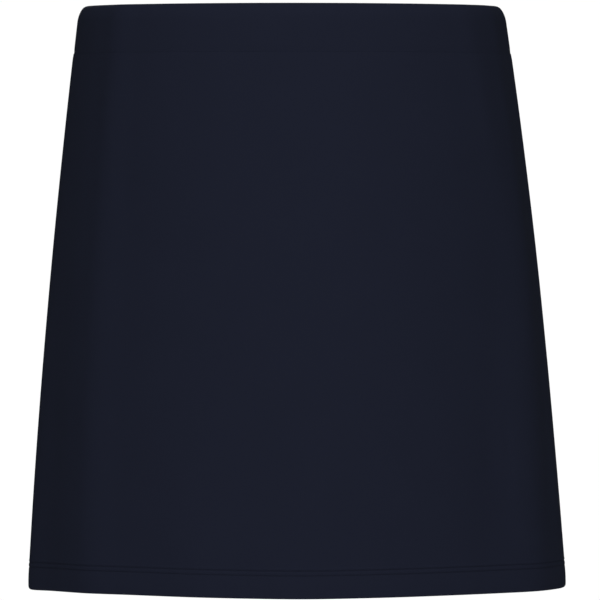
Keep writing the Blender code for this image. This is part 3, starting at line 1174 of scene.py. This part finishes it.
# Each soft light's place, width and height in metres. They all face one place on the skirt.
LAMP_TARGET = Vector((0.0, 0.0, -0.2))
Lamp = namedtuple("Lamp", "name place width height")
LAMPS = (
    Lamp("key", (0.1, -3.6, 0.5), 1.6, 1.6),
    Lamp("top", (0.0, -0.6, 1.9), 1.5, 1.0),
    Lamp("rear", (-0.2, 3.8, 0.6), 1.2, 1.6),
)


class SKIRT_OT_add_studio(bpy.types.Operator):
    """Add the floor, the soft lights, the surround and the camera."""

    bl_idname = "skirt.add_studio"
    bl_label = "Add Studio"

    def execute(self, context):
        """Build the studio round the skirt."""
        studio = context.scene.skirt_studio
        self.add_floor()
        for lamp in LAMPS:
            self.add_lamp(lamp, getattr(studio, lamp.name + "_power"), studio.lamp_tint)
        self.add_surround(studio.surround, studio.surround_tint)
        self.add_camera(studio.focal_length)
        context.scene.view_settings.view_transform = "Standard"
        return {"FINISHED"}

    def add_floor(self):
        """Add a plain pale floor, well below the hanging hem."""
        deselect_all()
        bpy.ops.mesh.primitive_circle_add(
            vertices=FLOOR_SIDES,
            radius=FLOOR_RADIUS,
            fill_type="NGON",
            location=(0.0, 0.0, -FLOOR_DEPTH),
        )
        floor = bpy.context.view_layer.objects.active
        floor.name = "floor"
        board = Board("pale_floor")
        board.shader.inputs["Base Color"].default_value = (FLOOR_GREY, FLOOR_GREY, FLOOR_GREY, 1.0)
        board.shader.inputs["Roughness"].default_value = FLOOR_ROUGHNESS
        floor.data.materials.append(board.material)

    def add_lamp(self, lamp, power, tint):
        """Add a soft rectangular light that faces the skirt."""
        turn = (LAMP_TARGET - Vector(lamp.place)).to_track_quat("-Z", "Y")
        bpy.ops.object.light_add(type="AREA", location=lamp.place, rotation=turn.to_euler())
        light = bpy.context.view_layer.objects.active
        light.name = lamp.name + "_light"
        light.data.shape = "RECTANGLE"
        light.data.size = lamp.width
        light.data.size_y = lamp.height
        light.data.energy = power
        light.data.color = tint
        light.visible_camera = False

    def add_surround(self, strength, tint):
        """Add a backdrop that the camera sees white, and softer light from all round."""
        world = bpy.data.worlds.new("surround")
        world.use_nodes = True
        nodes, links = world.node_tree.nodes, world.node_tree.links
        around, backdrop = nodes["Background"], nodes.new("ShaderNodeBackground")
        around.inputs["Color"].default_value = (*tint, 1.0)
        around.inputs["Strength"].default_value = strength
        backdrop.inputs["Color"].default_value = (1.0, 1.0, 1.0, 1.0)
        backdrop.inputs["Strength"].default_value = BACKDROP_STRENGTH
        seen, mix = nodes.new("ShaderNodeLightPath"), nodes.new("ShaderNodeMixShader")
        links.new(seen.outputs["Is Camera Ray"], mix.inputs[0])
        links.new(around.outputs[0], mix.inputs[1])
        links.new(backdrop.outputs[0], mix.inputs[2])
        links.new(mix.outputs[0], nodes["World Output"].inputs["Surface"])
        bpy.context.scene.world = world

    def add_camera(self, focal_length):
        """Add the camera, level with the skirt's upper third and pitched down a little."""
        bpy.ops.object.camera_add(
            location=CAMERA_PLACE, rotation=(math.radians(90.0 - CAMERA_PITCH), 0.0, 0.0)
        )
        camera = bpy.context.view_layer.objects.active
        camera.name = "camera"
        camera.data.sensor_width = SENSOR_WIDTH
        camera.data.lens = focal_length
        camera.data.clip_end = CAMERA_RANGE
        bpy.context.scene.camera = camera


class SKIRT_PT_sidebar(bpy.types.Panel):
    """Lists the skirt's sizes and the steps that build it."""

    bl_idname = "SKIRT_PT_sidebar"
    bl_label = "Stretch Sports Skirt"
    bl_space_type = "VIEW_3D"
    bl_region_type = "UI"
    bl_category = "Skirt"

    def draw(self, context):
        """Draw each group of sizes, and a button for each step."""
        for name in GROUPS:
            box = self.layout.box()
            group = getattr(context.scene, name)
            for size in group.bl_rna.properties:
                if not size.is_readonly and size.identifier != "name":
                    box.prop(group, size.identifier)
        for step in STEPS:
            self.layout.operator(step.bl_idname)


GROUPS = {
    "skirt_cloth": SkirtCloth,
    "skirt_sewing": SkirtSewing,
    "skirt_finish": SkirtFinish,
    "skirt_studio": SkirtStudio,
}
STEPS = (
    SKIRT_OT_add_waistband,
    SKIRT_OT_add_panels,
    SKIRT_OT_sew_hem,
    SKIRT_OT_sew_seams,
    SKIRT_OT_declare_cloth,
    SKIRT_OT_add_studio,
)


def register():
    """Register the sizes, the steps and the panel."""
    for name, group in GROUPS.items():
        bpy.utils.register_class(group)
        setattr(bpy.types.Scene, name, PointerProperty(type=group))
    for step in (*STEPS, SKIRT_PT_sidebar):
        bpy.utils.register_class(step)


def unregister():
    """Remove what register added."""
    for step in reversed((*STEPS, SKIRT_PT_sidebar)):
        bpy.utils.unregister_class(step)
    for name, group in GROUPS.items():
        delattr(bpy.types.Scene, name)
        bpy.utils.unregister_class(group)


def main():
    """Build the skirt and its studio."""
    register()
    bpy.ops.skirt.add_waistband()
    bpy.ops.skirt.add_panels()
    bpy.ops.skirt.sew_hem()
    bpy.ops.skirt.sew_seams()
    bpy.ops.skirt.declare_cloth()
    bpy.ops.skirt.add_studio()


if __name__ == "__main__":
    main()
